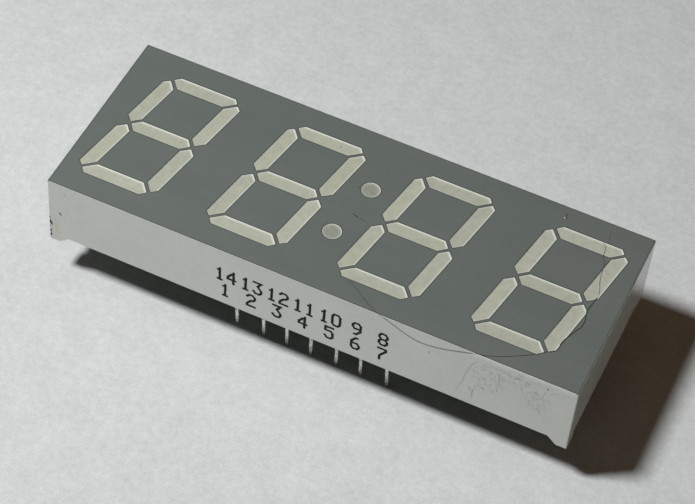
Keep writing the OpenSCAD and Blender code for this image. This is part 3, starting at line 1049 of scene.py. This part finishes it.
# the pale mark just below the top edge near x 9.8 is a nick; the two pale slivers beside the chipped left corner are
# painted highlights on its burrs
nicks = [streak([(9.62, 12.02), (9.77, 12.10), (9.95, 12.05)], 0.15, rng),
         streak([(-25.12, 6.90), (-24.92, 6.35)], 0.10, rng), streak([(-25.10, 5.55), (-24.95, 5.20)], 0.09, rng)]
v, f = plate(nicks, [], on_wall)
keep(mesh_object("wall_nicks_and_highlights", v, f, [M_PALE]), None)
marks = [streak([(0.20, -0.28), (0.48, -0.35), (0.78, -0.43)], 0.13, rng), blob(0.66, -0.40, 0.15, 0.085, -0.2, rng),
         streak([(17.29, 8.68), (17.24, 8.47), (17.27, 8.27), (17.47, 8.17)], 0.10, rng)]
v, f = plate(marks, [], on_face)
keep(mesh_object("face_specks", v, f, [M_SOOT]), None)
faint = [streak([(0.98, -0.46), (1.4, -0.53), (1.80, -0.61)], 0.11, rng), blob(-0.58, 2.75, 0.13, 0.12, 0, rng),
         streak([(17.47, 8.17), (17.52, 7.98)], 0.06, rng)]
v, f = plate(faint, [], on_face)
keep(mesh_object("face_scuffs", v, f, [M_FAINT]), None)
v, f = plate([blob(17.17, 8.13, 0.055, 0.05, 0.0, rng)], [], on_face)
keep(mesh_object("face_nick", v, f, [M_PALE]), None)
in_window = lambda p, side: (p[0], p[1], Z_CASE - (0.043 if side else 0.049))
v, f = plate([blob(-4.05, 6.45, 0.095, 0.09, 0, rng)], [], in_window)
keep(mesh_object("segment_speck", v, f, [M_SPECK]), None)
crazing = [streak([(22.40, 4.36), (22.74, 4.04), (23.14, 3.82)], 0.05, rng), streak([(22.63, 3.50), (23.01, 3.17)], 0.05, rng)]
v, f = plate(crazing, [], in_window)
keep(mesh_object("segment_cracks", v, f, [M_CRACK]), None)

# ------------------------------------------------------------------ dark strand

STRAND_R = 0.019
FLAT = 0.0215                  # a thicker stretch lies flattened on the face
ZF = Z_PRINT + STRAND_R
YW = YF - STRAND_R + 0.009
strand = [(3.09, -7.29, ZF), (3.89, -7.74, ZF), (4.54, -8.12, ZF), (5.25, -8.60, ZF), (5.95, -9.02, ZF), (6.55, -9.33, ZF),
          (6.95, YF + 0.05, Z_CASE + 0.01), (7.20, YW + 0.02, Z_CASE - 0.06),
          (7.60, YW, 12.02), (8.37, YW, 11.68), (9.02, YW, 11.36), (9.68, YW, 11.08), (10.45, YW, 10.86), (11.27, YW, 10.80), (12.19, YW, 10.94),
          (13.41, YW, 11.26), (14.30, YW, 11.60), (15.20, YW, 11.96), (15.75, YW + 0.02, 12.16),
          (16.10, YF + 0.05, Z_CASE + 0.01), (16.60, -9.34, ZF), (17.16, -9.15, ZF), (18.43, -8.53, ZF), (19.65, -7.79, ZF), (20.45, -7.25, ZF),
          (21.05, -6.72, ZF), (21.38, -6.46, ZF), (21.68, -6.31, ZF), (21.94, -6.00, ZF), (22.05, -5.61, ZF), (22.05, -5.15, ZF), (22.19, -4.47, ZF), (22.42, -3.96, ZF), (22.68, -3.27, ZF),
          (22.94, -2.74, ZF), (23.00, -2.19, ZF), (22.97, -1.71, ZF), (22.81, -1.07, ZF), (22.76, -0.79, ZF), (22.84, -0.28, ZF),
          (22.92, 0.32, ZF), (23.00, 0.82, ZF), (23.07, 1.12, ZF)]
# the strand goes on as finer hairs
FINE_R = 0.012
ZH = Z_PRINT + FINE_R
fine_hair = [(23.07, 1.12, ZH), (22.91, 1.86, ZH), (22.62, 2.65, ZH), (22.42, 3.49, ZH), (22.34, 4.08, ZH), (22.30, 4.48, ZH), (22.17, 5.04, ZH),
             (21.93, 5.35, ZH), (21.79, 5.80, ZH), (21.74, 6.31, ZH), (21.65, 6.59, ZH), (21.41, 6.94, ZH), (21.27, 7.06, ZH)]
hair_ends = [[(21.71, 7.26, ZH), (21.57, 7.84, ZH), (21.45, 8.52, ZH)], [(21.71, 5.61, ZH), (21.88, 5.43, ZH), (22.10, 5.22, ZH)]]


def tube(name, points, radius, material, sides=7, per=5):
    """radius is one number, or one for each point."""
    radii = list(radius) if isinstance(radius, (list, tuple)) else [radius] * len(points)
    p = [np.array(q, float) for q in points]
    p = [2 * p[0] - p[1]] + p + [2 * p[-1] - p[-2]]
    line = []
    for i in range(1, len(p) - 2):
        for j in range(per):
            t = j / per
            a, b, c, d = p[i - 1], p[i], p[i + 1], p[i + 2]
            line.append(0.5 * (2 * b + (c - a) * t + (2 * a - 5 * b + 4 * c - d) * t * t + (3 * b - a - 3 * c + d) * t ** 3))
    line.append(p[-2])
    verts, faces = [], []
    side = np.array((0.0, 0.0, 1.0))
    n = len(line)
    for i, q in enumerate(line):
        d = line[min(i + 1, n - 1)] - line[max(i - 1, 0)]
        d = d / np.linalg.norm(d)
        side = side - d * (side @ d)
        side = side / np.linalg.norm(side)
        other = np.cross(d, side)
        k0 = min(i // per, len(radii) - 2)
        f = i / per - k0
        r = (radii[k0] * (1 - f) + radii[k0 + 1] * f) * (1.0 if 2 < i < n - 3 else 0.6)
        for k in range(sides):
            a = 2 * math.pi * k / sides
            verts.append(q + min(r, FLAT) * math.cos(a) * side + r * math.sin(a) * other)
    for i in range(n - 1):
        for k in range(sides):
            j = (k + 1) % sides
            faces.append((i * sides + k, i * sides + j, (i + 1) * sides + j, (i + 1) * sides + k))
    faces.append(tuple(reversed(range(sides))))
    faces.append(tuple(range((n - 1) * sides, n * sides)))
    return mesh_object(name, verts, faces, [material], smooth_angle=60)


thick = [0.033 if 21.7 < x < 23.1 and -5.5 < y < 0.9 else 0.019 for x, y, z in strand]
strand = [(x, y, z + min(r, FLAT) - STRAND_R) if z > Z_CASE else (x, y, z) for (x, y, z), r in zip(strand, thick)]
keep(tube("dark_strand", strand, thick, M_HAIR), None)
keep(tube("fine_hair", fine_hair, FINE_R, M_HAIR), None)
for i, bit in enumerate(hair_ends):
    keep(tube(f"hair_bit_{i + 1}", bit, 0.009, M_HAIR, 6), None)

# ------------------------------------------------------------------------ pins

# how far each front pin is pushed along X at the root, half way down and at the tip
BENT = {1: (0.20, 0.40, 0.50), 2: (0.28, 0.56, 0.65), 3: (0.19, 0.38, 0.43), 4: (0.12, 0.24, 0.29),
        5: (0.11, 0.22, 0.28), 6: (0.03, 0.06, 0.16), 7: (0.04, 0.08, 0.24),
        8: (0.0, 0.05, 0.12), 9: (0.0, -0.04, -0.10), 10: (0.0, 0.03, 0.06), 11: (0.0, -0.05, -0.12),
        12: (0.0, 0.06, 0.13), 13: (0.0, 0.02, -0.05), 14: (0.0, -0.03, -0.09)}


def pin_ring(cx, cy, z, w, d, n=4):
    r = min(0.045, 0.3 * min(w, d))
    ring = rounded(np.array([(cx - w / 2, cy - d / 2), (cx + w / 2, cy - d / 2), (cx + w / 2, cy + d / 2), (cx - w / 2, cy + d / 2)]), r, n)
    return lift(ring, z)


def build_pin(i, rng):
    """A lead stamped from tinned strip: flat sided, a little wider at the root, cut to a blunt point."""
    lo, hi = box_mm(f"pin_{i:02d}")
    cx, cy = (lo[0] + hi[0]) / 2, (lo[1] + hi[1]) / 2
    z0, z1 = lo[2], min(hi[2], Z_FILL + 0.6)
    root, middle, tip = BENT[i]
    levels = [z1, 5.0, 4.4, 3.8, 3.2, 2.8, 2.2, 1.6, 1.1, 0.80, 0.55, 0.34, 0.16, 0.05, 0.0]
    rings = []
    for z in sorted(levels):
        z = max(z, 0.0)
        if z > 5.0:
            off = root
        elif z > 2.8:
            t = (5.0 - z) / 2.2
            off = root + (middle - root) * t * t * (3 - 2 * t) * 0.5 + (middle - root) * t * 0.5
        else:
            off = middle + (tip - middle) * (2.8 - z) / 2.8
        w = 0.325 + 0.04 * max(0.0, min(1.0, (z - 2.2) / 2.0))
        d = 0.29
        if z < 0.80:
            t = (0.80 - z) / 0.80
            w, d = w - 0.15 * t ** 1.3, d - 0.13 * t ** 1.3
        if z < 0.05:
            w, d = w * 0.72, d * 0.72
        jitter = 0.012
        lifted = z0 + z * (z1 - z0) / z1 if z < z1 else z1
        rings.append(pin_ring(cx + off + rng.uniform(-jitter, jitter), cy, lifted, w * (1 + rng.uniform(-0.025, 0.025)), d))
    verts, faces = loft(rings)
    return mesh_object(f"lead_{i:02d}", verts, faces, [M_PIN], smooth_angle=50)


rng = random.Random(44)
for i in range(1, 15):
    keep(build_pin(i, rng), "tinned_pin", f"pin_{i:02d}")

# --------------------------------------------------- materials of the CAD nodes


def finish_node(node, material, smooth=None):
    o = nodes[node]
    o.data.materials.clear()
    o.data.materials.append(material)
    if smooth is not None:
        o.data.shade_smooth()
        o.data.set_sharp_from_angle(angle=math.radians(smooth))


finish_node("circuit_board", M_BOARD)
finish_node("led_chips", M_CHIP)
finish_node("bond_wires", M_GOLD)
finish_node("solder_joints", M_SOLDER, 40)

# ----------------------------------------------------------------------- stage


def build_floor():
    """Plain pale paper with a fine grain."""
    n = Nodes("paper_floor")
    colour = n.ramp(n.noise(26.0, 4.0, 0.55), [(0.3, (0.500, 0.527, 0.536)), (0.7, (0.522, 0.549, 0.557))])
    fibre = n.range(n.noise(7500.0, 3.0, 0.8), 0.25, 0.75, 0.81, 1.19)
    tuft = n.range(n.noise(1500.0, 3.0, 0.65, shift=(0.2, 0.1, 0.0)), 0.25, 0.75, 0.91, 1.09)
    mottle = n.range(n.noise(330.0, 3.0, 0.6, shift=(0.5, 0.3, 0.0)), 0.25, 0.75, 0.95, 1.05)
    colour = n.mix(1.0, colour, n.math("MULTIPLY", n.math("MULTIPLY", fibre, tuft), mottle), "MULTIPLY")
    n.bump([(n.noise(70.0, 3.0, 0.5), 120.0), (n.noise(520.0, 4.0, 0.6), 20.0), (n.noise(5200.0, 3.0, 0.7), 6.0)])
    mat = n.set(Base_Color=colour, Roughness=0.8)
    me = bpy.data.meshes.new("floor")
    r = 0.38
    me.from_pydata([(-r, -r, 0), (r, -r, 0), (r, r, 0), (-r, r, 0)], [], [(0, 1, 2, 3)])
    me.materials.append(mat)
    o = bpy.data.objects.new("floor", me)
    scene.collection.objects.link(o)


build_floor()

# ---------------------------------------------------------------------- finish

bpy.context.view_layer.update()
